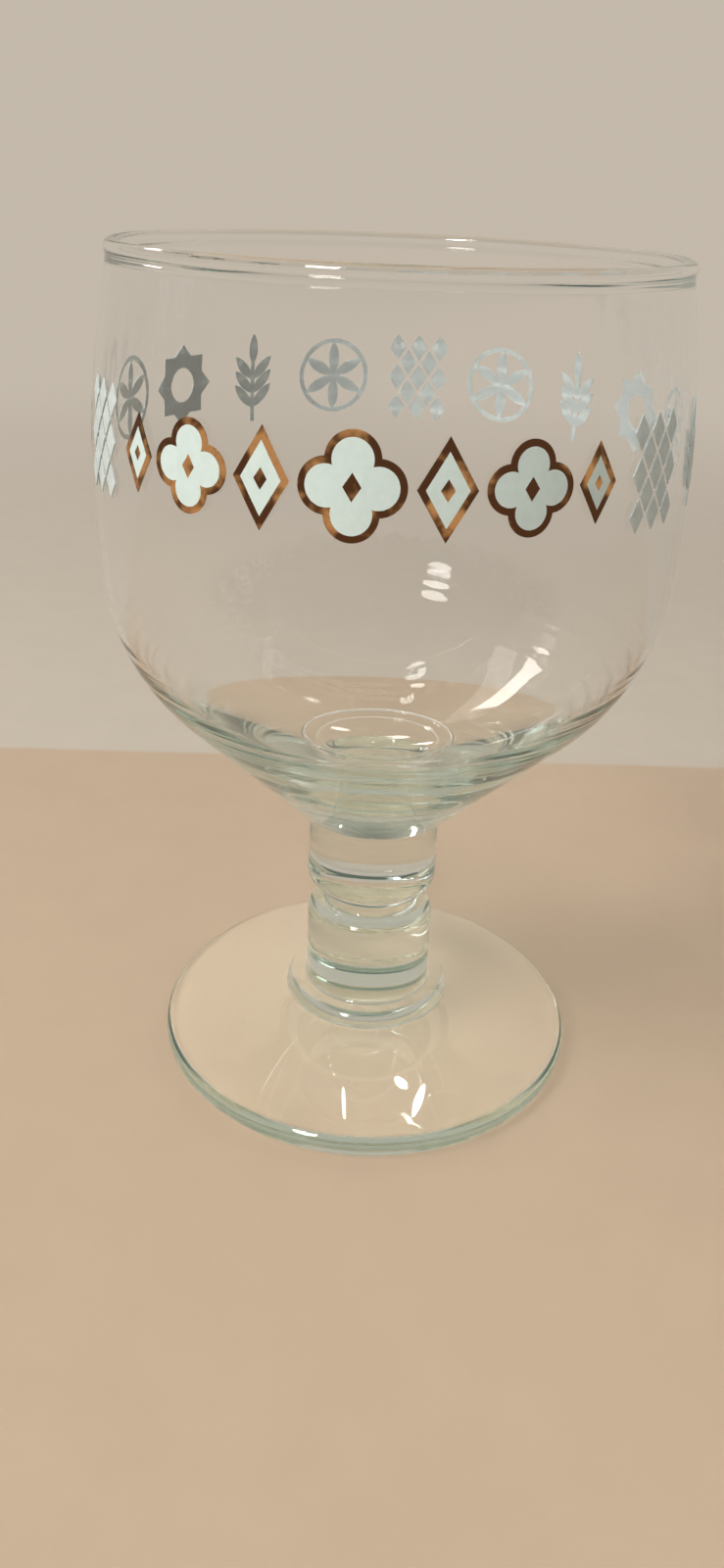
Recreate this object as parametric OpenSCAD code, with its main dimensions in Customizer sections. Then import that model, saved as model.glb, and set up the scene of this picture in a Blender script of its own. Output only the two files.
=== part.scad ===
// Chalice beer glass: a blown bowl with a thick floor, a pressed stem of two rounded drums
// and a pressed round foot, hot-joined face to face, with a fired print round the bowl.
// Millimetres, +Z up, origin at the middle of the foot's base, front of the print facing -Y.

/* [Foot] */
// Outer radius of the foot
foot_r = 42.7; // [36:0.1:50]
// Thickness of the foot's full-round edge
foot_edge_t = 5.25; // [4:0.05:7]
// Thickness of the foot where the stem's collar stands on it
foot_middle_t = 10.9; // [9:0.1:14]
// Depth of the shallow hollow under the foot
hollow_depth = 0.6; // [0.2:0.1:1.5]
// Width of the flat ring that the foot rests on
rest_ring_w = 6.5; // [3:0.5:12]

/* [Stem] */
// Outer radius of the collar at the stem's base
collar_r = 16.9; // [16.3:0.1:20]
// Height of the collar
collar_h = 3; // [2.7:0.1:5]
// Rounding of the collar's top edge
collar_edge_r = 2.6; // [1.5:0.1:2.6]
// Radius of the lower drum
lower_drum_r = 12.8; // [11.6:0.1:13.4]
// Height of the lower drum above the collar
lower_drum_h = 18.6; // [12:0.1:28]
// Rounding of the lower drum's top edge
lower_drum_edge_r = 3.4; // [2.6:0.1:4.2]
// Height of the groove between the drums
groove_h = 2.5; // [2:0.1:2.8]
// Radius of the groove's rounded bottom
groove_arc_r = 1.5; // [1.4:0.05:2]
// Radius of the upper drum at its widest, just above its bottom edge
upper_drum_r = 13; // [11.8:0.1:14]
// Radius of the upper drum at its top
upper_drum_top_r = 12.7; // [11.5:0.1:13.6]
// Height of the upper drum
upper_drum_h = 18.4; // [10:0.1:24]
// Rounding of the upper drum's bottom edge
upper_drum_edge_r = 4.6; // [3.6:0.1:5.4]
// Rounding in the corners where a drum meets the collar or the bowl
corner_fillet_r = 0.8; // [0.3:0.1:1]

/* [Bowl] */
// Height of the bowl, from its joint with the stem to the rim
bowl_h = 101.6; // [92:0.2:112]
// Largest outer radius of the bowl
bowl_r = 50.6; // [46:0.1:56]
// Height of the bowl's widest ring above the joint
belly_rise = 61.1; // [57:0.1:66]
// Radius of the long arc down the bowl's side
belly_arc_r = 183; // [130:1:260]
// Radius of the bend between the side and the cone under the bowl
knee_arc_r = 38; // [30:0.5:42]
// Angle between the cone under the bowl and the axis, in degrees
cone_angle = 45; // [43:0.5:48]
// Radius at which the cone under the bowl would reach the joint
cone_base_r = 14.6; // [14.4:0.1:17]
// Thickness of the wall
wall = 1.2; // [0.8:0.1:2.2]
// Radius of the fire-polished bead round the rim
rim_bead_r = 1.15; // [1.1:0.05:1.8]
// Thickness of glass in the middle of the floor
floor_t = 12; // [11:0.1:15]
// Radius of the inner floor's shallow arc
floor_arc_r = 59.4; // [50:0.5:70]
// Radius of the inner corner between floor and wall
inner_corner_r = 32.6; // [30:0.2:40]
// Radius of the fine ring that the press leaves on the inner floor
press_ring_r = 14.5; // [10:0.5:20]
// Radius of that ring's own small section
press_ring_section_r = 0.35; // [0.2:0.05:0.6]

/* [Print] */
// Thickness of the fired print
print_t = 0.15; // [0.1:0.01:0.3]
// Height of the middle of the print above the joint
print_rise = 74.3; // [70:0.1:78]
// Height of the tallest front motif, over its gold line
front_motif_h = 15; // [12:0.5:18]
// Width of the gold line round each front motif
outline_w = 1; // [0.5:0.1:1.4]
// Bare glass between neighbouring front motifs
front_gap = 1.2; // [0.6:0.1:2.4]
// Height of the frieze's tallest motifs
frieze_motif_h = 17; // [12:0.5:20]
// Least bare glass between neighbours in the frieze, and between the frieze and the front
frieze_gap = 2.6; // [1:0.1:5]
// Width of the frieze's finest lines
fine_line_w = 0.9; // [0.6:0.1:1.4]

/* [Hidden] */

// Heights of the levels at which the pieces stand on each other
collar_z = foot_middle_t;
lower_drum_z = collar_z + collar_h;
groove_z = lower_drum_z + lower_drum_h;
upper_drum_z = groove_z + groove_h;
joint_z = upper_drum_z + upper_drum_h;
rim_z = joint_z + bowl_h;
belly_z = joint_z + belly_rise;
print_z = joint_z + print_rise;

// Steps of the computed arcs, in degrees
fine_step = 1;
arc_step = 2.5;
small_step = 10;

// Points of an arc round c from angle a to angle b; an arc that carries on from another leaves out its first
function arc(c, r, a, b, step, first = 0) =
    let (n = max(1, ceil(abs(b - a) / step)))
    [for (i = [first:n]) let (t = a + (b - a) * i / n) c + r * [cos(t), sin(t)]];

// Where circles of radius ra round a and rb round b meet, on the left of the way from a to b
function meet(a, ra, b, rb) =
    let (
        d = norm(b - a),
        u = (b - a) / d,
        along = (ra * ra - rb * rb + d * d) / (2 * d),
        across = sqrt(ra * ra - along * along)
    )
    a + along * u + across * [-u[1], u[0]];

// Direction from a to b, in degrees
function heading(a, b) = atan2(b[1] - a[1], b[0] - a[0]);

// Centre of the belly's long arc, in radius and height
belly_c = [bowl_r - belly_arc_r, belly_z];

// Knee arc: tangent to the cone under the bowl and inside the belly arc
cone_dir = [sin(cone_angle), cos(cone_angle)];
cone_in = [-cos(cone_angle), sin(cone_angle)];
knee_from = [cone_base_r, joint_z] + knee_arc_r * cone_in;
knee_back = (knee_from - belly_c) * cone_dir;
knee_gap = belly_arc_r - knee_arc_r;
knee_off = (knee_from - belly_c) * (knee_from - belly_c) - knee_gap * knee_gap;
knee_c = knee_from + (sqrt(knee_back * knee_back - knee_off) - knee_back) * cone_dir;
knee_top_a = heading(belly_c, knee_c);
rim_tilt = asin((rim_z - rim_bead_r - belly_z) / (belly_arc_r - wall / 2));
rim_bead_c = belly_c + (belly_arc_r - wall / 2) * [cos(rim_tilt), sin(rim_tilt)];
bead_join_a = acos(wall / 2 / rim_bead_r);
outer_rim_a = asin((rim_z - 2 * rim_bead_r - belly_z) / belly_arc_r);
inner_rim_a = asin((rim_z - 2 * rim_bead_r - belly_z) / (belly_arc_r - wall));

// Bend where the cone turns in to the joint: it ends where the stem's fillet ends
joint_r = upper_drum_top_r + corner_fillet_r;
base_bend_r = (cone_base_r - joint_r) / tan((90 - cone_angle) / 2);
base_bend_c = [joint_r, joint_z + base_bend_r];

// Inner floor arc, centred on the axis, and the corner arc tangent to it and to the inner wall
floor_z = joint_z + floor_t;
floor_c = [0, floor_z + floor_arc_r];
corner_c = meet(floor_c, floor_arc_r - inner_corner_r, belly_c, belly_arc_r - wall - inner_corner_r);
floor_edge_a = heading(floor_c, corner_c);
corner_top_a = heading(belly_c, corner_c);
press_ring_z = floor_c[1] - sqrt(floor_arc_r * floor_arc_r - press_ring_r * press_ring_r);

// Groove: one arc that touches both drums' rounded edges
upper_edge_c = [upper_drum_r - upper_drum_edge_r, upper_drum_z + upper_drum_edge_r];
lower_edge_c = [lower_drum_r - lower_drum_edge_r, groove_z - lower_drum_edge_r];
upper_way = upper_drum_edge_r + groove_arc_r;
lower_way = lower_drum_edge_r + groove_arc_r;
groove_c = meet(upper_edge_c, upper_way, lower_edge_c, lower_way);

// Foot: full-round edge, and the slope that touches it on the way down from the collar
foot_edge_r = foot_edge_t / 2;
foot_edge_c = [foot_r - foot_edge_r, foot_edge_r];
slope_from = [collar_r, foot_middle_t];
slope_a = heading(slope_from, foot_edge_c) + asin(foot_edge_r / norm(foot_edge_c - slope_from));

// Outline of the bowl's glass, outer side up, round the bead and inner side down
bowl_outline = concat(
    [[0, joint_z]],
    arc(base_bend_c, base_bend_r, -90, -cone_angle, small_step),
    arc(knee_c, knee_arc_r, -cone_angle, knee_top_a, arc_step),
    arc(belly_c, belly_arc_r, knee_top_a, outer_rim_a, fine_step, 1),
    arc(rim_bead_c, rim_bead_r, rim_tilt - bead_join_a, rim_tilt + 180 + bead_join_a, small_step),
    arc(belly_c, belly_arc_r - wall, inner_rim_a, corner_top_a, fine_step),
    arc(corner_c, inner_corner_r, corner_top_a, floor_edge_a, arc_step, 1),
    arc(floor_c, floor_arc_r, floor_edge_a, -90, arc_step, 1)
);

module bowl() {
    color([0.86, 0.93, 0.92, 0.4])
    union() {
        rotate_extrude($fn = 120) polygon(bowl_outline);
        translate([0, 0, press_ring_z])
            rotate_extrude($fn = 120) translate([press_ring_r, 0]) circle(r = press_ring_section_r, $fn = 24);
    }
}

// Outline of the stem, from the collar's base up the outside
collar_edge_c = [collar_r - collar_edge_r, lower_drum_z - collar_edge_r];
lower_fillet_c = [lower_drum_r + corner_fillet_r, lower_drum_z + corner_fillet_r];
upper_fillet_c = [joint_r, joint_z - corner_fillet_r];
lower_neck_a = heading(lower_edge_c, groove_c);
upper_neck_a = heading(upper_edge_c, groove_c);
stem_outline = concat(
    [[0, collar_z], [collar_r, collar_z]],
    arc(collar_edge_c, collar_edge_r, 0, 90, small_step),
    arc(lower_fillet_c, corner_fillet_r, 270, 180, small_step),
    arc(lower_edge_c, lower_drum_edge_r, 0, lower_neck_a, small_step),
    arc(groove_c, groove_arc_r, lower_neck_a + 180, upper_neck_a + 180, small_step, 1),
    arc(upper_edge_c, upper_drum_edge_r, upper_neck_a, 0, small_step, 1),
    arc(upper_fillet_c, corner_fillet_r, 180, 90, small_step),
    [[0, joint_z]]
);

module stem() {
    color([0.84, 0.92, 0.9, 0.5])
    rotate_extrude($fn = 120) polygon(stem_outline);
}

// Outline of the foot: hollow base, rest ring, full-round edge, slope and the collar's seat
foot_outline = concat(
    [[0, hollow_depth], [foot_edge_c[0] - rest_ring_w, 0]],
    arc(foot_edge_c, foot_edge_r, -90, 90 + slope_a, small_step),
    [slope_from, [0, foot_middle_t]]
);

module foot() {
    color([0.84, 0.92, 0.9, 0.5])
    rotate_extrude($fn = 120) polygon(foot_outline);
}

// Skin of the fired print: it lies on the bowl's outer side, arc for arc
print_outline = concat(
    arc(belly_c, belly_arc_r, knee_top_a, outer_rim_a, fine_step),
    arc(belly_c, belly_arc_r + print_t, outer_rim_a, knee_top_a, fine_step)
);

// Keeps of the skin what lies under the flat drawings, each set upright in front of the bowl
module print_of() {
    intersection() {
        rotate_extrude($fn = 120) polygon(print_outline);
        union() children();
    }
}

// One flat drawing, x across and y up, carried radially through the skin at an azimuth
drawing_back_r = bowl_r - frieze_motif_h;
drawing_reach = 2 * frieze_motif_h;
module at_azimuth(azimuth) {
    rotate([0, 0, azimuth])
        translate([0, -drawing_back_r, print_z])
            rotate([90, 0, 0])
                linear_extrude(height = drawing_reach)
                    children();
}

// Lozenge of a width and height, with its edges moved out by grow
module lozenge(w, h, grow = 0) {
    slant = norm([w, h]);
    half_w = w / 2 + grow * slant / h;
    half_h = h / 2 + grow * slant / w;
    polygon([[half_w, 0], [0, half_h], [-half_w, 0], [0, -half_h]]);
}

// Quatrefoil of a height, with its edges moved out by grow
lobe_share = 0.26;
module quatrefoil(h, grow = 0) {
    lobe_r = lobe_share * h;
    lobe_at = h / 2 - lobe_r;
    lozenge(2 * lobe_at, 2 * lobe_at);
    for (a = [0:90:270])
        rotate(a) translate([lobe_at, 0]) circle(r = lobe_r + grow, $fn = 48);
}

// Pointed leaf between two arcs, standing on the origin
leaf_bulge_share = 0.16;
module leaf(l) {
    sagitta = leaf_bulge_share * l;
    r = (l * l / 4 + sagitta * sagitta) / (2 * sagitta);
    intersection_for (side = [-1, 1])
        translate([side * (r - sagitta), l / 2]) circle(r = r, $fn = 96);
}

// Front of the print, from its left to its right: kinds, and heights as shares of the tallest motif
front_kinds = ["lozenge", "quatrefoil", "lozenge", "quatrefoil", "lozenge", "quatrefoil", "lozenge"];
front_h_share = [0.76, 0.88, 0.94, 1, 0.94, 0.88, 0.76];
front_last = len(front_kinds) - 1;
lozenge_w_share = 0.6;
centre_w_share = 0.2;
centre_h_share = 0.3;

// Height and width of a front motif over its gold line, and height of its white part
function front_h(i) = front_h_share[i] * front_motif_h;
function front_w(i) = front_kinds[i] == "lozenge" ? lozenge_w_share * front_h(i) : front_h(i);
lozenge_line_share = norm([lozenge_w_share, 1]) / lozenge_w_share;
function line_h(i) = front_kinds[i] == "lozenge" ? lozenge_line_share * outline_w : outline_w;
function white_h(i) = front_h(i) - 2 * line_h(i);

// Way along the glass from the middle of the first front motif to the middle of this one
function front_run(i) = i == 0 ? 0 : front_run(i - 1) + (front_w(i - 1) + front_w(i)) / 2 + front_gap;

// Angle that a way along the glass spans at the print's height
print_r = belly_c[0] + sqrt(belly_arc_r * belly_arc_r - pow(print_z - belly_z, 2));
function turn(run) = run / print_r * 180 / PI;
function front_a(i) = turn(front_run(i) - front_run(front_last) / 2);
front_end_a = front_a(front_last) + turn(front_w(front_last) / 2);

// Flat drawing of one front motif, with its edges moved out by grow, and its gold accent
module front_motif(i, grow = 0) {
    if (front_kinds[i] == "lozenge")
        lozenge(front_w(i), front_h(i), grow);
    else
        quatrefoil(front_h(i), grow);
}
module front_centre(i) {
    lozenge(centre_w_share * white_h(i), centre_h_share * white_h(i));
}

// White enamel of every front motif of one kind
module front_white(kind) {
    color([0.9, 0.94, 0.92])
    print_of()
        for (i = [0:front_last])
            if (front_kinds[i] == kind)
                at_azimuth(front_a(i))
                    difference() {
                        front_motif(i, -outline_w);
                        front_centre(i);
                    }
}

module enamel_quatrefoils() {
    front_white("quatrefoil");
}

module enamel_lozenges() {
    front_white("lozenge");
}

module gold_outlines() {
    color([0.75, 0.5, 0.26])
    print_of()
        for (i = [0:front_last])
            at_azimuth(front_a(i))
                difference() {
                    front_motif(i);
                    front_motif(i, -outline_w);
                }
}

module gold_centres() {
    color([0.75, 0.5, 0.26])
    print_of()
        for (i = [0:front_last])
            at_azimuth(front_a(i)) front_centre(i);
}

// Sizes of the frieze's motifs as shares of its height
lattice_w_share = 0.72;
rosette_share = 0.86;
star_share = 0.62;
lattice_w = lattice_w_share * frieze_motif_h;
rosette_r = rosette_share * frieze_motif_h / 2;
star_w = star_share * frieze_motif_h;
widest_w = max(lattice_w, 2 * rosette_r, norm([star_w, star_w]));

// The frieze runs both ways from the middle of the back and stops short of the front
frieze_cycle = ["lattice", "rosette", "sprig", "star", "rosette", "sprig"];
frieze_room = 180 - front_end_a - turn(frieze_gap + widest_w / 2);
frieze_side = floor(frieze_room / turn(widest_w + frieze_gap));
frieze_pitch = frieze_room / frieze_side;

// Sets a flat drawing at each of the frieze's places that holds this kind of motif
module frieze_of(kind) {
    color([0.72, 0.76, 0.73])
    print_of()
        for (i = [-frieze_side:frieze_side])
            if (frieze_cycle[abs(i) % len(frieze_cycle)] == kind)
                at_azimuth(180 + i * frieze_pitch) children();
}

// Panel of small lozenges in staggered rows
lattice_rows = 5;
module frieze_lattices() {
    cell_h = 2 * (frieze_motif_h + fine_line_w) / (lattice_rows + 1);
    cell_w = (lattice_w + fine_line_w) / 3;
    frieze_of("lattice")
        for (row = [0:lattice_rows - 1]) {
            cells = row % 2 == 0 ? 3 : 2;
            for (column = [0:cells - 1])
                translate([(column - (cells - 1) / 2) * cell_w, (row - (lattice_rows - 1) / 2) * cell_h / 2])
                    lozenge(cell_w - fine_line_w, cell_h - fine_line_w);
        }
}

// Upright sprig: a stalk, three pairs of leaves and one at the tip
sprig_pairs = 3;
sprig_leaf_share = 0.36;
sprig_lean = 42;
module frieze_sprigs() {
    leaf_l = sprig_leaf_share * frieze_motif_h;
    stalk_l = frieze_motif_h - leaf_l;
    frieze_of("sprig")
        translate([0, -frieze_motif_h / 2]) {
            translate([-fine_line_w / 2, 0]) square([fine_line_w, stalk_l + fine_line_w]);
            translate([0, stalk_l]) leaf(leaf_l);
            for (pair = [1:sprig_pairs])
                for (side = [-1, 1])
                    translate([0, pair * stalk_l / (sprig_pairs + 1)]) rotate(side * sprig_lean) leaf(leaf_l);
        }
}

// Six-petalled rosette in a fine ring
petals = 6;
module frieze_rosettes() {
    frieze_of("rosette") {
        difference() {
            circle(r = rosette_r, $fn = 72);
            circle(r = rosette_r - fine_line_w, $fn = 72);
        }
        for (i = [0:petals - 1])
            rotate(i * 360 / petals) leaf(rosette_r - fine_line_w / 2);
    }
}

// Eight-pointed star of two crossed squares, open in the middle
star_hole_share = 0.3;
module frieze_stars() {
    frieze_of("star")
        difference() {
            for (a = [0, 45])
                rotate(a) square(star_w, center = true);
            circle(r = star_hole_share * star_w, $fn = 48);
        }
}

bowl();
stem();
foot();
enamel_quatrefoils();
enamel_lozenges();
gold_outlines();
gold_centres();
frieze_lattices();
frieze_sprigs();
frieze_rosettes();
frieze_stars();
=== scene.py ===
"""Chalice beer glass: smooth blown and pressed glass, fired enamel and gold, on a pale table."""

import bpy
import numpy as np
from mathutils import Matrix, Vector


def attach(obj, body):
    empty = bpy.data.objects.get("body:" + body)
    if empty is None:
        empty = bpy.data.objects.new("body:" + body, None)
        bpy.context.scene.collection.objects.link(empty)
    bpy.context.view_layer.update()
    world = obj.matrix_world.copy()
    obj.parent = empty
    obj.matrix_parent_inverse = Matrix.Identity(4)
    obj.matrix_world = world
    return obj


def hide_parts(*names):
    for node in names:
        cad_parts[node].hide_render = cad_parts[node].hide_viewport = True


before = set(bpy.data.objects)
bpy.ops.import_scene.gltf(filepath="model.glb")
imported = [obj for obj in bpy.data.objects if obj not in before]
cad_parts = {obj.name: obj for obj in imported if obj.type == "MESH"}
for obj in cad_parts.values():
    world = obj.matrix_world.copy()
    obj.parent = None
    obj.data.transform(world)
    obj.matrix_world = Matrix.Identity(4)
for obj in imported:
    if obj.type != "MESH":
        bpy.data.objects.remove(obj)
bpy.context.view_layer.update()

MM = 0.001
TURN = 5.7  # degrees about Z from the camera's frame to the part's

# Sizes of the glass in millimetres, as in the part's source.
COLLAR_Z, JOINT_Z, BELLY_Z, RIM_Z = 10.9, 53.4, 114.5, 155.0
WELD_GAP = 0.02

# The bowl. Its bead's fillets, press ring's section and dish are finer than in the source.
BOWL_R, BELLY_ARC_R, KNEE_ARC_R = 50.6, 183.0, 38.0
CONE_ANGLE, CONE_BASE_R, JOINT_R = 45.0, 14.6, 13.5
WALL, RIM_BEAD_R, BEAD_FILLET_R = 1.2, 1.15, 4.0
FLOOR_T, FLOOR_ARC_R, CORNER_R = 12.0, 59.4, 32.6
PRESS_RING_R, PRESS_RING_H, PRESS_RING_W = 14.5, 0.34, 0.32
DISH_R, DISH_DEPTH, DISH_EDGE, NUB_R = 11.9, 0.3, 0.22, 2.4

# The stem. The edges and fillets are arcs, given by centre (radius, height) and radius.
COLLAR_R, COLLAR_EDGE, COLLAR_EDGE_R = 16.9, (14.3, 11.3), 2.6
LOWER_DRUM_R, LOWER_EDGE, LOWER_EDGE_R = 12.8, (9.4, 29.1), 3.4
UPPER_DRUM_R, UPPER_EDGE, UPPER_EDGE_R = 13.0, (8.4, 39.6), 4.6
GROOVE_R = 1.5
FLARE_R, LOWER_FLARE, UPPER_FLARE, FLARE_NECK_R = 0.8, (13.6, 14.7), (13.5, 52.6), 12.7

# The foot.
FOOT_EDGE, FOOT_EDGE_R = (40.075, 2.625), 2.625
REST_RING_R, HOLLOW = 33.575, 0.6

# The heel's waves: height and length of the slow, quick and fine rings. They rise from one radius inside and
# another outside, over the same width. They reach up to WAVES_TOP at the front and WAVES_TOP_SIDES more at
# the sides, and faintly up to WALL_WAVES_TOP on the wall.
SLOW_WAVE, QUICK_WAVE, FINE_WAVE = (0.035, 5.3), (0.026, 2.9), (0.010, 1.7)
WAVES_IN_R, WAVES_OUT_R, WAVES_RISE = 19, 16, 6
WAVES_TOP, WAVES_TOP_SIDES, WALL_WAVES_TOP = 84, 16, 114


# Outlines, as (radius, height) rows.

def arc(centre, radius, start, end, count, first=0):
    """Points centre + radius (cos t, sin t), t from start to end in even steps; first=1 drops the first."""
    t = np.radians(np.linspace(start, end, count + 1)[first:])
    return np.asarray(centre) + radius * np.stack([np.cos(t), np.sin(t)], 1)


def line(start, end, count, first=0):
    """Even steps along the straight way from start to end."""
    s = np.linspace(0, 1, count + 1)[first:, None]
    return (1 - s) * np.asarray(start) + s * np.asarray(end)


def heading(a, b):
    """Direction from a to b in degrees."""
    return np.degrees(np.arctan2(b[1] - a[1], b[0] - a[0]))


def meet(a, radius_a, b, radius_b):
    """Where a circle round a and a circle round b cross, on the left of the way from a to b."""
    a, b = np.asarray(a), np.asarray(b)
    d = np.linalg.norm(b - a)
    u = (b - a) / d
    along = (radius_a**2 - radius_b**2 + d**2) / (2 * d)
    return a + along * u + np.sqrt(radius_a**2 - along**2) * np.array([-u[1], u[0]])


def knee_centre(belly):
    """The knee arc touches the cone, and the belly arc from inside: it slides up the cone until it does."""
    c = np.radians(CONE_ANGLE)
    along, inward = np.array([np.sin(c), np.cos(c)]), np.array([-np.cos(c), np.sin(c)])
    start = np.array([CONE_BASE_R, JOINT_Z]) + KNEE_ARC_R * inward
    back = (start - belly) @ along
    off = (start - belly) @ (start - belly) - (BELLY_ARC_R - KNEE_ARC_R) ** 2
    return start + (np.sqrt(back**2 - off) - back) * along


def inner_floor(centre, edge_r):
    """The floor arc from its edge to the axis, with the press ring, the dish and the knob on it.

    The ring is a bell-shaped ridge. The rows are closest between radius 16 and 10, across the ring and the
    dish's edge.
    """
    r = np.r_[np.linspace(edge_r, 16, 12)[1:], np.linspace(16, 10, 48)[1:], np.linspace(10, 4, 10)[1:],
              np.linspace(4, 0, 14)[1:]]
    ring = PRESS_RING_H * np.exp(-(((r - PRESS_RING_R) / PRESS_RING_W) ** 2))
    dish = DISH_DEPTH / (1 + np.exp((r - DISH_R) / DISH_EDGE))
    nub = DISH_DEPTH * np.exp(-((r / NUB_R) ** 4))
    return np.stack([r, centre[1] - np.sqrt(FLOOR_ARC_R**2 - r**2) + ring - dish + nub], 1)


def bowl_outline():
    """Up the outside by cone, knee and belly, round the rim's bead, and down inside to the thick floor."""
    belly = np.array([BOWL_R - BELLY_ARC_R, BELLY_Z])
    knee = knee_centre(belly)
    knee_top = heading(belly, knee)
    bead_on = BELLY_ARC_R - WALL / 2
    tilt = np.arcsin((RIM_Z - RIM_BEAD_R - BELLY_Z) / bead_on)
    bead = belly + bead_on * np.array([np.cos(tilt), np.sin(tilt)])
    outer = meet(bead, RIM_BEAD_R + BEAD_FILLET_R, belly, BELLY_ARC_R + BEAD_FILLET_R)
    inner = meet(bead, RIM_BEAD_R + BEAD_FILLET_R, belly, BELLY_ARC_R - WALL - BEAD_FILLET_R)
    outer_low, outer_high = heading(outer, belly) + 360, heading(outer, bead)
    inner_low, inner_high = heading(inner, bead), heading(belly, inner)
    bend_r = (CONE_BASE_R - JOINT_R) / np.tan(np.radians((90 - CONE_ANGLE) / 2))
    floor = np.array([0, JOINT_Z + FLOOR_T + FLOOR_ARC_R])
    corner = meet(floor, FLOOR_ARC_R - CORNER_R, belly, BELLY_ARC_R - WALL - CORNER_R)
    floor_edge, corner_top = heading(floor, corner), heading(belly, corner)
    base = JOINT_Z + WELD_GAP / 2
    return np.concatenate([
        line([0, base], [JOINT_R, base], 4),
        arc([JOINT_R, JOINT_Z + bend_r], bend_r, -90, -CONE_ANGLE, 8, 1) + [0, WELD_GAP / 2],
        arc(knee, KNEE_ARC_R, -CONE_ANGLE, knee_top, 56),
        arc(belly, BELLY_ARC_R, knee_top, heading(belly, outer), 36, 1),
        arc(outer, BEAD_FILLET_R, outer_low, outer_high, 8, 1),
        arc(bead, RIM_BEAD_R, outer_high - 180, inner_low + 180, 44, 1),
        arc(inner, BEAD_FILLET_R, inner_low, inner_high, 8, 1),
        arc(belly, BELLY_ARC_R - WALL, heading(belly, inner), corner_top, 36, 1),
        arc(corner, CORNER_R, corner_top, floor_edge, 150, 1),
        inner_floor(floor, FLOOR_ARC_R * np.cos(np.radians(floor_edge))),
    ])


def stem_outline():
    """Up the outside from the base: rounded collar, lower drum, groove, upper drum, flare under the bowl."""
    groove = meet(UPPER_EDGE, UPPER_EDGE_R + GROOVE_R, LOWER_EDGE, LOWER_EDGE_R + GROOVE_R)
    lower_neck, upper_neck = heading(LOWER_EDGE, groove), heading(UPPER_EDGE, groove)
    base, top = COLLAR_Z + WELD_GAP / 2, JOINT_Z - WELD_GAP / 2
    return np.concatenate([
        line([0, base], [COLLAR_R, base], 4),
        arc(COLLAR_EDGE, COLLAR_EDGE_R, 0, 90, 18),
        arc(LOWER_FLARE, FLARE_R, 270, 180, 9, 1),
        line([LOWER_DRUM_R, LOWER_FLARE[1]], [LOWER_DRUM_R, LOWER_EDGE[1]], 12, 1),
        arc(LOWER_EDGE, LOWER_EDGE_R, 0, lower_neck, 20, 1),
        arc(groove, GROOVE_R, lower_neck + 180, upper_neck + 180, 18, 1),
        arc(UPPER_EDGE, UPPER_EDGE_R, upper_neck, 0, 24, 1),
        line([UPPER_DRUM_R, UPPER_EDGE[1]], [FLARE_NECK_R, UPPER_FLARE[1]], 12, 1),
        arc(UPPER_FLARE, FLARE_R, 180, 90, 9, 1) - [0, WELD_GAP / 2],
        line([JOINT_R, top], [0, top], 4, 1),
    ])


def foot_outline():
    """Shallow hollow, flat rest ring, full-round edge, and the long slope up to the collar's seat."""
    edge, seat = np.array(FOOT_EDGE), np.array([COLLAR_R, COLLAR_Z])
    lean = heading(seat, edge) + np.degrees(np.arcsin(FOOT_EDGE_R / np.linalg.norm(edge - seat)))
    rim = arc(edge, FOOT_EDGE_R, -90, 90 + lean, 36)
    top = COLLAR_Z - WELD_GAP / 2
    return np.concatenate([
        line([0, HOLLOW], [REST_RING_R, 0], 16),
        line([REST_RING_R, 0], rim[0], 4, 1),
        rim[1:],
        line(rim[-1], seat - [0, WELD_GAP / 2], 20, 1),
        line([COLLAR_R, top], [0, top], 4, 1),
    ])


# Meshes.

def placed(name, data):
    """A new object for a mesh, lamp or camera."""
    made = bpy.data.objects.new(name, data)
    bpy.context.collection.objects.link(made)
    return made


def rising(value, length):
    """0 below 0, then evenly up to 1 over the length."""
    return np.clip(value / length, 0, 1)


def heel_waves(r, z, a):
    """Height of the waves that blowing leaves on the heel, in millimetres.

    Three trains of rings run along z + 0.45 r and wander a little with the angle a. They are strongest at the
    sides and at the front, fade out on the floor and up the wall, and are fainter on the outside of the cone.
    """
    turn = a - np.radians(TURN)
    right, front = np.cos(turn), -np.sin(turn)
    sides = right**2
    inner = np.arange(len(r))[:, None] > np.argmax(z)
    inside = rising(r - WAVES_IN_R, WAVES_RISE) * (z > JOINT_Z + FLOOR_T - 1) * inner
    outside = 0.35 * rising(r - WAVES_OUT_R, WAVES_RISE) * ~inner
    heel = rising(WAVES_TOP + WAVES_TOP_SIDES * sides - z, 6 + 8 * sides)
    wall = 0.1 * sides * rising(WALL_WAVES_TOP - z, 14)
    around = 0.22 + 0.5 * right**4 + 0.45 * rising(front, 1) ** 2 + 0.25 * rising(right, 1) ** 3
    along = 2 * np.pi * (z + 0.45 * r)
    slow = np.sin(along / SLOW_WAVE[1] + 0.9 * np.sin(a + 0.4) + 0.3 * np.sin(2 * a))
    quick = np.sin(along / QUICK_WAVE[1] - 0.8 * np.sin(a + 1.7) + 0.5 * np.sin(2 * a))
    fine = np.sin(along / FINE_WAVE[1] + 1.2 * np.sin(a + 2.6) + 0.7 * np.sin(3 * a) + slow)
    trains = SLOW_WAVE[0] * slow + QUICK_WAVE[0] * quick + FINE_WAVE[0] * fine
    return (inside + outside) * (heel + wall) * around * trains


SHARP_ANGLE = 28  # degrees between faces, past which the edge between them shows


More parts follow.
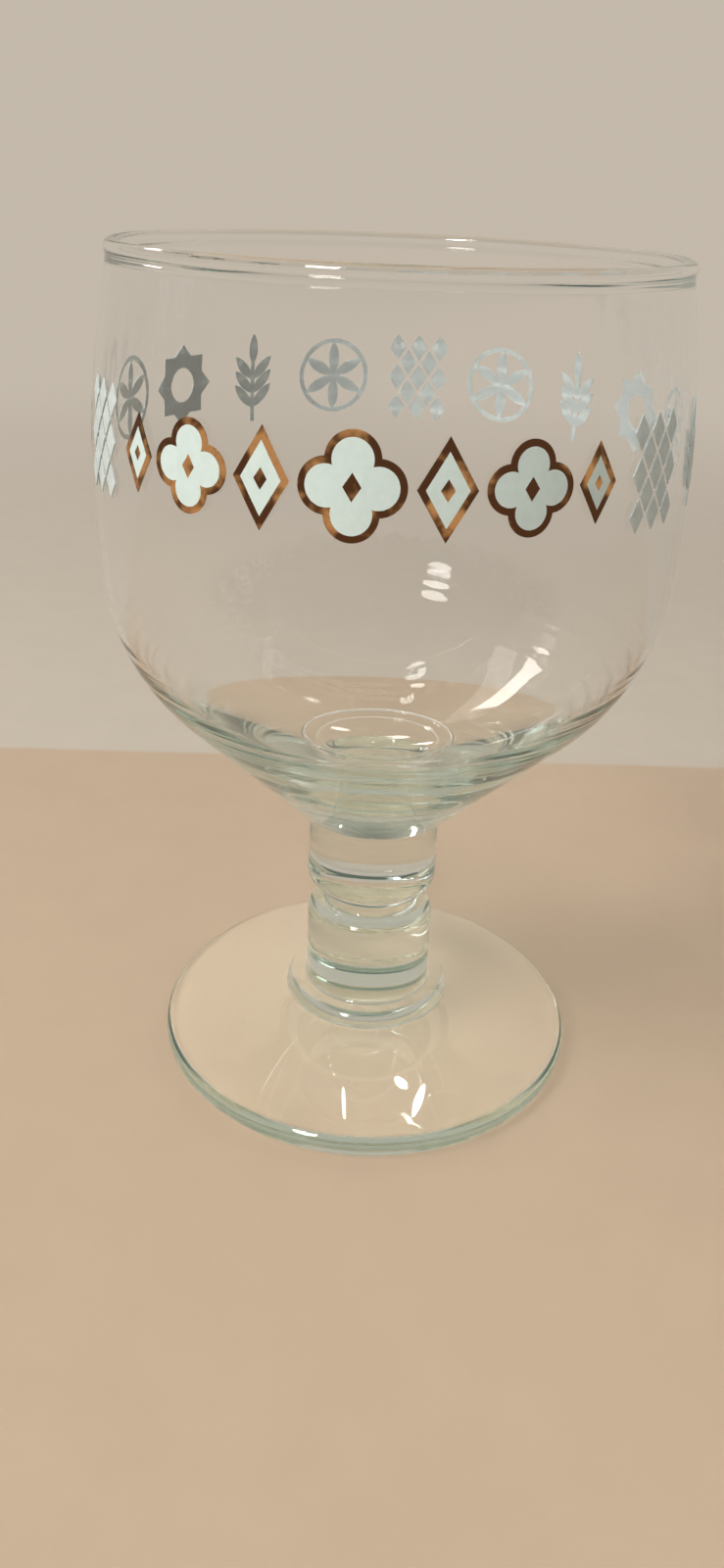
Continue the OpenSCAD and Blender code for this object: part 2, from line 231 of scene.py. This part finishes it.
def turned(name, outline, around, waves=None):
    """A closed surface of revolution from a counter-clockwise outline, so that its faces point outwards.

    Row i, column j is (r_i cos a_j, r_i sin a_j, z_i) for even angles a_j, moved along the outline's normal
    by waves(r, z, a). The outline's ends on the axis are one point each.
    """
    keep = np.r_[True, np.linalg.norm(np.diff(outline, axis=0), axis=1) > 1e-6]
    outline = outline[keep]
    ring = outline[1:-1]
    a = np.linspace(0, 2 * np.pi, around, endpoint=False)
    r, z = np.repeat(ring[:, :1], around, 1), np.repeat(ring[:, 1:], around, 1)
    if waves:
        along = outline[2:] - outline[:-2]
        along /= np.linalg.norm(along, axis=1)[:, None]
        high = waves(ring[:, :1], ring[:, 1:], a)
        r, z = r + along[:, 1:] * high, z - along[:, :1] * high
    low, top = outline[0, 1] * MM, outline[-1, 1] * MM
    grid = np.stack([r * np.cos(a), r * np.sin(a), z], 2) * MM
    points = np.concatenate([[[0, 0, low]], grid.reshape(-1, 3), [[0, 0, top]]])
    rows = len(ring)
    i, j = np.meshgrid(np.arange(rows - 1), np.arange(around), indexing="ij")
    k = (j + 1) % around
    quads = 1 + np.stack([i * around + j, i * around + k, (i + 1) * around + k, (i + 1) * around + j], 2)
    j, k = np.arange(around), (np.arange(around) + 1) % around
    last_row = 1 + (rows - 1) * around
    first = np.stack([np.zeros_like(j), 1 + k, 1 + j], 1)
    last = np.stack([np.full_like(j, len(points) - 1), last_row + j, last_row + k], 1)
    mesh = bpy.data.meshes.new(name)
    mesh.from_pydata(points.tolist(), [], first.tolist() + quads.reshape(-1, 4).tolist() + last.tolist())
    mesh.shade_smooth()
    mesh.set_sharp_from_angle(angle=np.radians(SHARP_ANGLE))
    mesh.update()
    return placed(name, mesh)


# Materials.

class Nodes:
    """Short hand for putting a material's nodes together."""

    def __init__(self, tree):
        self.tree = tree
        tree.nodes.clear()

    def give(self, socket, value):
        """Links a socket to the value where that is a socket too, or else writes the value on it."""
        if isinstance(value, bpy.types.NodeSocket):
            self.tree.links.new(value, socket)
        else:
            socket.default_value = value

    def add(self, kind, inputs=None, **settings):
        node = self.tree.nodes.new(kind)
        for name, value in settings.items():
            setattr(node, name, value)
        for name, value in (inputs or {}).items():
            self.give(node.inputs[name], value)
        return node

    def math(self, operation, a, b=0.0, c=0.0):
        return self.add("ShaderNodeMath", {0: a, 1: b, 2: c}, operation=operation).outputs[0]

    def vector(self, operation, a, b=(0.0, 0.0, 0.0), output="Vector"):
        return self.add("ShaderNodeVectorMath", {0: a, 1: b}, operation=operation).outputs[output]

    def height(self, where):
        return self.add("ShaderNodeSeparateXYZ", {0: where}).outputs["Z"]

    def spread(self, value, low, high, to_low=0.0, to_high=1.0):
        """Carries low..high to to_low..to_high, easing in and out."""
        inputs = {"Value": value, "From Min": low, "From Max": high, "To Min": to_low, "To Max": to_high}
        return self.add("ShaderNodeMapRange", inputs, interpolation_type="SMOOTHSTEP").outputs[0]

    def noise(self, where, scale, detail=3.0, roughness=0.5):
        inputs = {"Vector": where, "Scale": scale, "Detail": detail, "Roughness": roughness}
        return self.add("ShaderNodeTexNoise", inputs).outputs["Fac"]

    def blend(self, factor, a, b):
        node = self.add("ShaderNodeMix", data_type="RGBA")
        for socket, value in zip((node.inputs[0], node.inputs[6], node.inputs[7]), (factor, a, b)):
            self.give(socket, value)
        return node.outputs[2]

    def bump(self, height, distance, strength=1.0):
        inputs = {"Height": height, "Distance": distance, "Strength": strength}
        return self.add("ShaderNodeBump", inputs).outputs[0]

    def mixed(self, factor, a, b):
        """Mixes the shaders of two nodes."""
        return self.add("ShaderNodeMixShader", {0: factor, 1: a.outputs[0], 2: b.outputs[0]})

    def finish(self, out, surface, volume=None):
        """Joins the nodes to the material's or the world's output."""
        self.tree.links.new(surface.outputs[0], out.inputs["Surface"])
        if volume:
            self.tree.links.new(volume.outputs[0], out.inputs["Volume"])


def material(name):
    """A new material, its nodes, the place on the piece that its patterns read, and its output."""
    made = bpy.data.materials.new(name)
    made.use_nodes = True
    n = Nodes(made.node_tree)
    where = n.add("ShaderNodeTexCoord").outputs["Object"]
    out = n.add("ShaderNodeOutputMaterial")
    return made, n, where, out


# The press ring and the dish's edge get a rough, pale line: a painted highlight, as if they caught the lamps.
# Ring highlights on the inner floor: radius and strength of each, half their width, and between which
# heights.
RING_HIGHLIGHTS, RING_HIGHLIGHT_WIDTH, RING_HIGHLIGHT_FROM_Z, RING_HIGHLIGHT_TO_Z = ((PRESS_RING_R, 0.5), (DISH_R, 0.3)), 0.28, 62, 70

# Glass: index of refraction, tint by thickness, the clear face, and the shadow of a face and of an edge.
GLASS_INDEX, GLASS_TINT, GLASS_CLEAR = 1.52, (0.28, 0.74, 0.62, 1), (0.99, 0.99, 0.993, 1)
SHADE_FACING, SHADE_EDGE = (0.97, 0.965, 0.975, 1), (0.42, 0.46, 0.45, 1)


def painted_ring_highlights(n, where, z):
    """From 0 to 1: a rough, pale line on the press ring and on the dish's edge, in patches, as a painted
    highlight.
    """
    reach = n.vector("LENGTH", n.vector("MULTIPLY", where, (1, 1, 0)), output="Value")
    ring_lines = [n.spread(n.math("ABSOLUTE", n.math("SUBTRACT", reach, at * MM)), 0, RING_HIGHLIGHT_WIDTH * MM, most, 0)
            for at, most in RING_HIGHLIGHTS]
    above, below = n.math("GREATER_THAN", z, RING_HIGHLIGHT_FROM_Z * MM), n.math("LESS_THAN", z, RING_HIGHLIGHT_TO_Z * MM)
    on_floor = n.math("MULTIPLY", above, below)
    patches = n.spread(n.noise(where, 600, 3), 0.3, 0.6, 0.5, 1)
    return n.math("MULTIPLY", n.math("MULTIPLY", n.math("MAXIMUM", *ring_lines), on_floor), patches)


def clear_glass(name, wave, smear, tint):
    """Soda-lime glass: clear, aqua where it is thick, its skin faintly wavy and here and there smeared.

    On the welds, where two pieces are one body of glass, the index of refraction is 1, so they don't show.
    """
    made, n, where, out = material(name)
    z = n.height(where)
    away = [n.math("ABSOLUTE", n.math("SUBTRACT", z, weld * MM)) for weld in (JOINT_Z, COLLAR_Z)]
    near = n.math("MINIMUM", *away)
    off_weld = n.math("GREATER_THAN", near, 1.5 * WELD_GAP * MM)
    index = n.add("ShaderNodeMapRange", {"Value": off_weld, "To Min": 1.0, "To Max": GLASS_INDEX}).outputs[0]
    skin = n.math("MULTIPLY_ADD", n.noise(where, 900, 2), 0.03, n.noise(where, 45, 2))
    smudge = n.spread(n.noise(where, 130, 5, 0.62), 0.55, 0.8, 0, smear)
    # Painted highlight: on the rings the glass is less clear and rougher, so they show as pale lines.
    ring_highlight = painted_ring_highlights(n, where, z)
    body = n.add("ShaderNodeBsdfPrincipled", {
        "Base Color": GLASS_CLEAR,
        "Roughness": n.math("MAXIMUM", smudge, n.math("MULTIPLY", ring_highlight, 0.6)),
        "IOR": index,
        "Transmission Weight": n.math("SUBTRACT", 1.0, ring_highlight),
        "Normal": n.bump(skin, wave * MM)})
    facing = n.add("ShaderNodeLayerWeight", {"Blend": 0.25}).outputs["Facing"]
    shade = n.add("ShaderNodeBsdfTransparent", {"Color": n.blend(facing, SHADE_FACING, SHADE_EDGE)})
    shadow_ray = n.add("ShaderNodeLightPath").outputs["Is Shadow Ray"]
    depth = n.add("ShaderNodeVolumeAbsorption", {"Color": GLASS_TINT, "Density": tint})
    n.finish(out, n.mixed(shadow_ray, body, shade), depth)
    return made


def fired_enamel(name, colour, shade, gloss, through):
    """Glass colour, fired on: satin, faintly mottled and orange-peeled, and letting some light through."""
    made, n, where, out = material(name)
    mottle = n.spread(n.noise(where, 700, 4, 0.6), 0.3, 0.7)
    peel = n.noise(where, 2600, 3, 0.6)
    tone, skin = n.blend(mottle, shade, colour), n.bump(peel, 0.02 * MM, 0.5)
    body = n.add("ShaderNodeBsdfPrincipled", {
        "Base Color": tone, "Normal": skin,
        "Roughness": n.spread(peel, 0.3, 0.7, gloss - 0.06, gloss + 0.06)})
    glow = n.add("ShaderNodeBsdfTranslucent", {"Color": tone, "Normal": skin})
    n.finish(out, n.mixed(through, body, glow))
    return made


def fired_gold(name):
    """Thin fired gold, glossy: copper-bright in places, and dark brown in others as a painted reflection of a
    dark room.
    """
    made, n, where, out = material(name)
    # Painted reflection: where this is low the gold is dark brown, as if it mirrored a dark room.
    painted_reflection = n.spread(n.noise(where, 170, 3, 0.55), 0.46, 0.62)
    grain = n.noise(where, 2400, 3, 0.6)
    body = n.add("ShaderNodeBsdfPrincipled", {
        "Base Color": n.blend(painted_reflection, (0.13, 0.06, 0.03, 1), (0.78, 0.43, 0.19, 1)),
        "Metallic": 1.0,
        "Roughness": n.spread(grain, 0.3, 0.7, 0.16, 0.28),
        "Normal": n.bump(grain, 0.015 * MM, 0.6)})
    n.finish(out, body)
    return made


# The pieces.

blown = clear_glass("blown_glass", wave=0.006, smear=0.02, tint=6.8)
pressed = clear_glass("pressed_glass", wave=0.02, smear=0.03, tint=4.6)
shows = {"prints": []}  # the pieces that a lamp names: each piece of glass by its node, the prints together
for name, outline, around, waves, finish, node, slot in (
    ("bowl_glass", bowl_outline(), 224, heel_waves, blown, "bowl", "bowl_glass"),
    ("stem_glass", stem_outline(), 192, None, pressed, "stem", "pressed_glass"),
    ("foot_glass", foot_outline(), 256, None, pressed, "foot", "pressed_glass"),
):
    piece = turned(name, outline, around, waves)
    piece.data.materials.append(finish)
    shows[node] = [piece]
    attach(piece, "root")
    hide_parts(node)

white = fired_enamel("white_enamel", (0.66, 0.78, 0.76, 1), (0.61, 0.74, 0.72, 1), gloss=0.38, through=0.1)
grey = fired_enamel("frieze_enamel", (0.78, 0.86, 0.86, 1), (0.70, 0.79, 0.79, 1), gloss=0.45, through=0.3)
gold = fired_gold("fired_gold")
for names, finish in (
    (("enamel_quatrefoils", "enamel_lozenges"), white),
    (("gold_outlines", "gold_centres"), gold),
    (("frieze_lattices", "frieze_sprigs", "frieze_rosettes", "frieze_stars"), grey),
):
    for name in names:
        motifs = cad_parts[name]
        motifs.data.materials.clear()
        motifs.data.materials.append(finish)
        shows["prints"].append(motifs)


# Table and room.

NEAR_TONE, FAR_TONE, DARK_TONE = (0.52, 0.40, 0.285, 1), (0.55, 0.485, 0.405, 1), (0.045, 0.085, 0.08, 1)

# The edge between tan and beige: the way across it, how far behind the glass it runs and how soft it is.
EDGE_ACROSS, EDGE_AT, EDGE_SOFT = (-0.1403, 0.9901, 0.0), 0.13165, 0.0015
TABLE_HALF, TABLE_Z = 40.0, -0.2 * MM


def seen_rays(n):
    """1 for rays that show things to the camera: straight, or by gloss and glass, before any matt surface."""
    rays = n.add("ShaderNodeLightPath").outputs
    bent = n.math("MAXIMUM", rays["Is Glossy Ray"], rays["Is Transmission Ray"])
    bent = n.math("MULTIPLY", bent, n.math("LESS_THAN", rays["Diffuse Depth"], 0.5))
    return n.math("MAXIMUM", rays["Is Camera Ray"], bent)


def pale_table():
    """A flat sheet that is tan near the glass and beige behind it, and far off the colour of the room."""
    mesh = bpy.data.meshes.new("table")
    corners = [(x * TABLE_HALF, y * TABLE_HALF, TABLE_Z) for x, y in ((-1, -1), (1, -1), (1, 1), (-1, 1))]
    mesh.from_pydata(corners, [], [(0, 1, 2, 3)])
    made, n, where, out = material("pale_table")
    across = n.vector("DOT_PRODUCT", where, EDGE_ACROSS, "Value")
    behind = n.spread(across, EDGE_AT - EDGE_SOFT, EDGE_AT + EDGE_SOFT)
    grain = n.spread(n.noise(where, 60, 5, 0.6), 0.3, 0.7, 0.97, 1.0)
    matt = n.add("ShaderNodeBsdfPrincipled", {
        "Base Color": n.vector("MULTIPLY", n.blend(behind, NEAR_TONE, FAR_TONE), grain),
        "Roughness": 0.55, "Specular IOR Level": 0.2})
    far_off = n.add("ShaderNodeEmission", {"Color": FAR_TONE, "Strength": 1.0})
    away = n.vector("LENGTH", where, output="Value")
    fade = n.math("MULTIPLY", n.spread(away, 0.25, 0.9), seen_rays(n))
    n.finish(out, n.mixed(fade, matt, far_off))
    mesh.materials.append(made)
    table = placed("table", mesh)


def room():
    """Beige low down all round and high up behind the glass, dark above; an even light for matt surfaces."""
    world = bpy.data.worlds.new("room")
    bpy.context.scene.world = world
    world.use_nodes = True
    n = Nodes(world.node_tree)
    out = n.add("ShaderNodeOutputWorld")
    way = n.add("ShaderNodeTexCoord").outputs["Generated"]
    up = n.height(way)
    back = n.vector("DOT_PRODUCT", way, EDGE_ACROSS, "Value")
    dark = n.math("MULTIPLY", n.spread(up, 0.2, 0.45), n.spread(back, -0.05, 0.35, 1, 0))
    dark = n.math("MAXIMUM", dark, n.spread(up, 0.7, 0.95))
    shown = n.blend(dark, FAR_TONE, DARK_TONE)
    camera_ray = n.add("ShaderNodeLightPath").outputs["Is Camera Ray"]
    shown = n.blend(camera_ray, shown, FAR_TONE)
    look = n.add("ShaderNodeBackground", {"Color": shown, "Strength": 1.0})
    even = n.add("ShaderNodeBackground", {"Color": (1.0, 0.97, 0.93, 1), "Strength": 0.46})
    n.finish(out, n.mixed(seen_rays(n), even, look))


# Lamps, in the camera's frame. Spots and ends are in millimetres, and sizes and distances in metres.

LAMP_WHITE, SOFTBOX_WHITE = (1.0, 0.95, 0.88), (1.0, 0.98, 0.95)
WIDE = 179  # degrees of spread: everywhere in front of the lamp
BOWL, FOOT, STEM_AND_FOOT, WHOLE = ["bowl"], ["foot"], ["stem", "foot"], ["bowl", "stem", "foot", "prints"]

# Name, azimuth and elevation in degrees, distance, spot faced, width, height, brightness, spread, shown by.
OVAL_LAMPS = (
    ("ceiling_glint_low", -150, 35, 1.3, (0, 0, 110), 0.26, 0.16, 50, WIDE, WHOLE),
    ("ceiling_glint_high", -147, 47.5, 1.3, (0, 0, 110), 0.28, 0.12, 50, WIDE, WHOLE),
    ("overhead_panel", 0, 89, 1.2, (0, 0, 30), 0.4, 0.4, 12, WIDE, STEM_AND_FOOT),
    ("foot_glint_right", 24, 65, 0.03, (11.1, -32.5, 6.7), 0.002, 0.0085, 40, 8, FOOT),
    ("foot_glint_middle", 17, 65, 0.03, (7.8, -29.8, 7.3), 0.004, 0.0022, 40, 8, FOOT),
    ("foot_glint_left", -8, 69, 0.03, (-3.2, -34.2, 6.7), 0.001, 0.007, 30, 8, FOOT),
    ("floor_glint", -21, 65, 0.25, (7.5, 23.3, 70.7), 0.012, 0.012, 60, 4, BOWL),
    ("heel_sheen", 20, 49, 0.25, (-14.9, 15.4, 69.4), 0.03, 0.03, 10, 4, BOWL),
    ("dish_glint_left", 7, 35, 0.25, (-8.9, 4.8, 66), 0.012, 0.02, 25, 4, BOWL),
    ("dish_glint_right", -3, 31, 0.25, (4.4, 3.0, 65.3), 0.015, 0.025, 30, 4, BOWL),
    ("dish_glint_far_right", -6, 21, 0.25, (9.9, -1.7, 66), 0.012, 0.015, 25, 4, BOWL),
)

# The tube lamp behind the glass on the left, in parts that each face their own spot of the heel's streak.
TUBE_PARTS = 6
TUBE_ENDS = (-192, 104, 290), (-70, 228, 260)
STREAK_ENDS = (32.5, 26.5, 82.4), (20.8, 9.8, 69.8)
TUBE_TALL, TUBE_BRIGHT, TUBE_SPREAD = 0.024, 50, 26


def turn_matrix(size):
    """From the camera's frame to the part's, with 3 or 4 rows."""
    return Matrix.Rotation(np.radians(TURN), size, "Z")


def facing_spot(azimuth, elevation, distance, spot):
    """A lamp's place and bearing: azimuth is from straight behind the glass towards its right."""
    a, e = np.radians(azimuth), np.radians(elevation)
    way = Vector((np.sin(a) * np.cos(e), np.cos(a) * np.cos(e), np.sin(e)))
    spin = turn_matrix(3)
    return (Matrix.Translation(spin @ (Vector(spot) * MM + distance * way))
            @ (spin @ way).to_track_quat("Z", "Y").to_matrix().to_4x4())


def softbox():
    """A broad lamp at the front left, for matt surfaces only."""
    box = placed("softbox", bpy.data.lights.new("softbox", "AREA"))
    box.matrix_world = facing_spot(-132, 46, 1.5, (0, 0, 60))
    box.data.shape, box.data.size, box.data.energy, box.data.color = "SQUARE", 0.7, 22.0, SOFTBOX_WHITE
    box.visible_camera = box.visible_glossy = box.visible_transmission = False


def glass_lamp(name, place, shape, across, tall, bright, spread, shown_by):
    """A lamp that only the gloss and glass of the pieces in shown_by show, as bright as given against white.

    A narrow spread keeps it to the spot that it faces. Its power is pi times its brightness and area, times
    the share 1 - h / tan h that a lamp gives off within the half spread h.
    """
    lamp = placed(name, bpy.data.lights.new(name, "AREA"))
    lamp.matrix_world = place
    lamp.visible_camera = lamp.visible_diffuse = False
    data = lamp.data
    half = np.radians(spread / 2)
    data.shape, data.size, data.size_y, data.spread, data.color = shape, across, tall, 2 * half, LAMP_WHITE
    area = across * tall * (np.pi / 4 if shape == "ELLIPSE" else 1)
    data.energy = bright * np.pi * area * (1 - half / np.tan(half))
    group = bpy.data.collections.new(name)
    for piece in (piece for shown in shown_by for piece in shows[shown]):
        group.objects.link(piece)
    lamp.light_linking.receiver_collection = group


def oval_lamps():
    """The oval lamps of the list, each turned to face its spot."""
    for name, azimuth, elevation, distance, spot, *rest in OVAL_LAMPS:
        glass_lamp(name, facing_spot(azimuth, elevation, distance, spot), "ELLIPSE", *rest)


def tube_lamps():
    """A straight bar in parts: each is as far along between the ends as its spot is along the streak."""
    bar, streak = line(*TUBE_ENDS, TUBE_PARTS) * MM, line(*STREAK_ENDS, 2 * TUBE_PARTS)[1::2] * MM
    for part, (first, last, spot) in enumerate(zip(bar, bar[1:], streak), 1):
        across, centre = Vector(last - first), Vector((first + last) / 2)
        back = centre - Vector(spot)
        back = (back - back.project(across)).normalized()
        axes = Matrix((across.normalized(), back.cross(across).normalized(), back)).transposed()
        place = turn_matrix(4) @ Matrix.Translation(centre) @ axes.to_4x4()
        glass_lamp(f"heel_glint_{part}", place, "RECTANGLE",
                   across.length, TUBE_TALL, TUBE_BRIGHT, TUBE_SPREAD, BOWL)


# Camera.

YAW, PITCH, ROLL = -0.7222, 27.119, 2.3465
EYE = (0, -0.20942, 0.16504)
FOCAL_PIXELS, PHOTO_PIXELS, SENSOR = 1215.9, 1600, 36  # the photo's height in pixels fills the sensor's 36 mm


def camera():
    """The photo's camera, from its edges: eye, and axes from yaw, pitch and roll, all turned about Z."""
    yaw, pitch, roll = np.radians([YAW, PITCH, ROLL])
    forward = np.array([np.sin(yaw) * np.cos(pitch), np.cos(yaw) * np.cos(pitch), -np.sin(pitch)])
    right = np.array([np.cos(yaw), -np.sin(yaw), 0])
    up = np.cross(right, forward)
    across, above = np.cos(roll) * right + np.sin(roll) * up, -np.sin(roll) * right + np.cos(roll) * up
    axes = Matrix(np.stack([across, above, -forward], 1).tolist())
    spin = turn_matrix(3)
    data = bpy.data.cameras.new("camera")
    data.sensor_width, data.sensor_fit, data.clip_start = SENSOR, "AUTO", 0.01
    data.lens = FOCAL_PIXELS / PHOTO_PIXELS * SENSOR
    eye = placed("camera", data)
    eye.matrix_world = Matrix.Translation(spin @ Vector(EYE)) @ (spin @ axes).to_4x4()
    bpy.context.scene.camera = eye


pale_table()
room()
softbox()
oval_lamps()
tube_lamps()
camera()

scene = bpy.context.scene
scene.view_settings.view_transform = "Standard"
scene.cycles.max_bounces = 48
scene.cycles.transmission_bounces = 48
scene.cycles.glossy_bounces = 32
scene.cycles.transparent_max_bounces = 32
scene.cycles.caustics_refractive = True
scene.cycles.caustics_reflective = False
